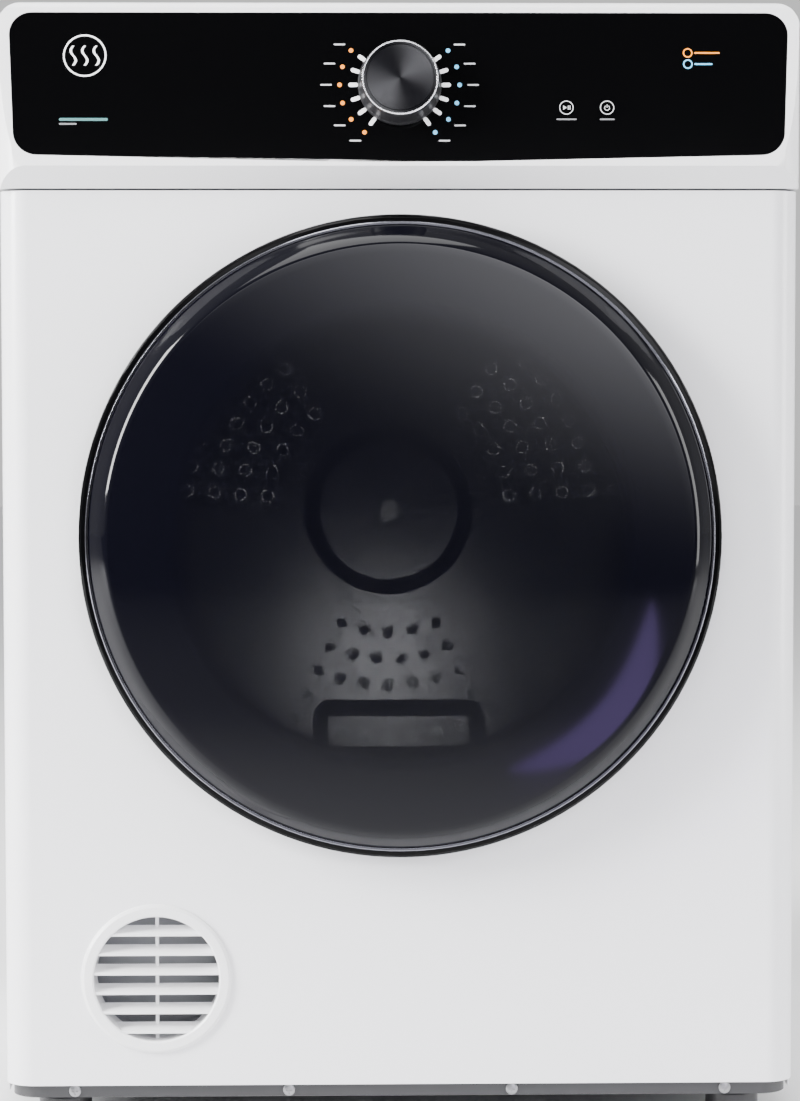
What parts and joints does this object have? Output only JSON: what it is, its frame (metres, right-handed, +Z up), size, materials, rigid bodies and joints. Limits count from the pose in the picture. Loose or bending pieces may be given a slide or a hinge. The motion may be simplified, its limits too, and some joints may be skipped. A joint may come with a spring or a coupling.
{
  "type": "clothes dryer",
  "caption": "Front-loading vented clothes dryer with a round smoked door, dial console and front exhaust grille; drum, belt drive, fan and heater inside.",
  "frame": {"origin": "centre of the overall box, on the floor under the machine", "axes": "+Z up, -Y out of the door (front), +X to the right of a viewer facing the door"},
  "size_m": [0.595, 0.6, 0.845],
  "materials": {
    "white_enamel": "semi-gloss enamel",
    "white_plastic": "satin white",
    "black_gloss_plastic": "high gloss",
    "smoked_window": "smoked, polished",
    "clear_glass": "clear",
    "chrome_trim": "polished",
    "spun_aluminium": "spun",
    "black_plastic": "satin",
    "grey_plastic": "satin",
    "light_guide": "frosted",
    "circuit_board": "solder mask",
    "zinc_steel": "zinc plated",
    "galvanised_sheet": "galvanised",
    "drum_steel": "satin",
    "dark_grey_steel": "satin",
    "heater_sheath": "heat tinted",
    "sintered_bronze": "matte",
    "felt": "woven felt",
    "grey_rubber": "matte",
    "black_rubber": "matte",
    "filter_mesh": "fine mesh"
  },
  "bodies": {
    "root": {"base_tray": "dark_grey_steel", "blower_housing": "grey_plastic", "cabinet_screws": "zinc_steel", "console_fascia": "white_plastic", "console_panel": "black_gloss_plastic", "control_board": "circuit_board", "cord_inlet": "black_plastic", "dial_light_guides": "light_guide", "door_catch": "grey_plastic", "door_hinge_bracket": "zinc_steel", "door_hinge_pin": "zinc_steel", "drive_belt": "black_rubber", "drum_bearing": "sintered_bronze", "drum_felt_seals": "felt", "front_bulkhead": "galvanised_sheet", "front_panel": "white_enamel", "heater_element": "heater_sheath", "heater_housing": "galvanised_sheet", "lint_duct": "grey_plastic", "motor_housing": "dark_grey_steel", "rear_cover": "galvanised_sheet", "rear_panel": "galvanised_sheet", "rear_plenum": "galvanised_sheet", "roller_axles": "zinc_steel", "side_panel_left": "white_enamel", "side_panel_right": "white_enamel", "tensioner_spring": "zinc_steel", "tensioner_stand": "zinc_steel", "vent_duct": "grey_plastic", "vent_grille": "white_plastic", "worktop": "white_plastic"},
    "door": {"door_outer_ring": "black_gloss_plastic", "door_trim_ring": "chrome_trim", "door_window": "smoked_window", "door_inner_frame": "grey_plastic", "door_glass_bowl": "clear_glass", "door_gasket": "grey_rubber", "door_hinge_leaf": "zinc_steel", "door_latch_hook": "grey_plastic"},
    "drum": {"drum_shell": "drum_steel", "drum_back": "drum_steel", "drum_lifters": "grey_plastic", "drum_shaft": "zinc_steel"},
    "motor_rotor": {"motor_shaft": "zinc_steel", "drive_pulley": "black_plastic", "blower_impeller": "grey_plastic"},
    "roller_left": {"drum_roller_left": "black_rubber"},
    "roller_right": {"drum_roller_right": "black_rubber"},
    "tensioner": {"tensioner_arm": "zinc_steel"},
    "idler": {"idler_pulley": "black_plastic"},
    "knob": {"selector_knob": "black_plastic", "knob_face": "spun_aluminium"},
    "start_button": {"start_pause_button": "black_gloss_plastic"},
    "power_switch_button": {"power_button": "black_gloss_plastic"},
    "lint_filter": {"lint_filter_frame": "grey_plastic", "lint_filter_mesh": "filter_mesh"},
    "foot_fl": {"foot_front_left": "black_plastic"},
    "foot_fr": {"foot_front_right": "black_plastic"},
    "foot_rl": {"foot_rear_left": "black_plastic"},
    "foot_rr": {"foot_rear_right": "black_plastic"}
  },
  "joints": [
    {"name": "door_hinge", "type": "hinge", "parent": "root", "child": "door", "pos_m": [-0.23, -0.268, 0.449], "axis": [0, 0, -1], "range_deg": [0, 140]},
    {"name": "drum_spin", "type": "hinge", "parent": "root", "child": "drum", "pos_m": [0, 0.03, 0.449], "axis": [0, 1, 0], "continuous": true},
    {"name": "motor_spin", "type": "hinge", "parent": "root", "child": "motor_rotor", "pos_m": [0.14, -0.03, 0.12], "axis": [0, 1, 0], "continuous": true},
    {"name": "roller_left_spin", "type": "hinge", "parent": "root", "child": "roller_left", "pos_m": [-0.14314, -0.155, 0.16807], "axis": [0, 1, 0], "continuous": true},
    {"name": "roller_right_spin", "type": "hinge", "parent": "root", "child": "roller_right", "pos_m": [0.14314, -0.155, 0.16807], "axis": [0, 1, 0], "continuous": true},
    {"name": "tensioner_pivot", "type": "hinge", "parent": "root", "child": "tensioner", "pos_m": [0.03, 0.0905, 0.07], "axis": [0, -1, 0], "range_deg": [0, 6], "stiffness_Nm_per_rad": 15, "springref_deg": -11.46, "deforming": ["tensioner_spring"]},
    {"name": "idler_spin", "type": "hinge", "parent": "tensioner", "child": "idler", "pos_m": [0.072, 0.075, 0.106], "axis": [0, 1, 0], "continuous": true},
    {"name": "knob_turn", "type": "hinge", "parent": "root", "child": "knob", "pos_m": [0, -0.2523, 0.783], "axis": [0, -0.9848, 0.1736], "continuous": true},
    {"name": "start_pause_press", "type": "slide", "parent": "root", "child": "start_button", "axis": [0, 0.9848, -0.1736], "range_m": [0, 0.0012], "stiffness_N_per_m": 600, "springref_m": -0.0008},
    {"name": "power_press", "type": "slide", "parent": "root", "child": "power_switch_button", "axis": [0, 0.9848, -0.1736], "range_m": [0, 0.0012], "stiffness_N_per_m": 600, "springref_m": -0.0008},
    {"name": "lint_filter_lift", "type": "slide", "parent": "root", "child": "lint_filter", "axis": [0, 0, 1], "range_m": [0, 0.14]},
    {"name": "foot_fl_screw", "type": "slide", "parent": "root", "child": "foot_fl", "axis": [0, 0, -1], "range_m": [0, 0.015]},
    {"name": "foot_fr_screw", "type": "slide", "parent": "root", "child": "foot_fr", "axis": [0, 0, -1], "range_m": [0, 0.015]},
    {"name": "foot_rl_screw", "type": "slide", "parent": "root", "child": "foot_rl", "axis": [0, 0, -1], "range_m": [0, 0.015]},
    {"name": "foot_rr_screw", "type": "slide", "parent": "root", "child": "foot_rr", "axis": [0, 0, -1], "range_m": [0, 0.015]}
  ],
  "couplings": [
    {"joint": "roller_left_spin", "follows": "drum_spin", "ratio": -8},
    {"joint": "roller_right_spin", "follows": "drum_spin", "ratio": -8},
    {"joint": "motor_spin", "follows": "drum_spin", "ratio": 25.454},
    {"joint": "idler_spin", "follows": "drum_spin", "ratio": 14}
  ]
}
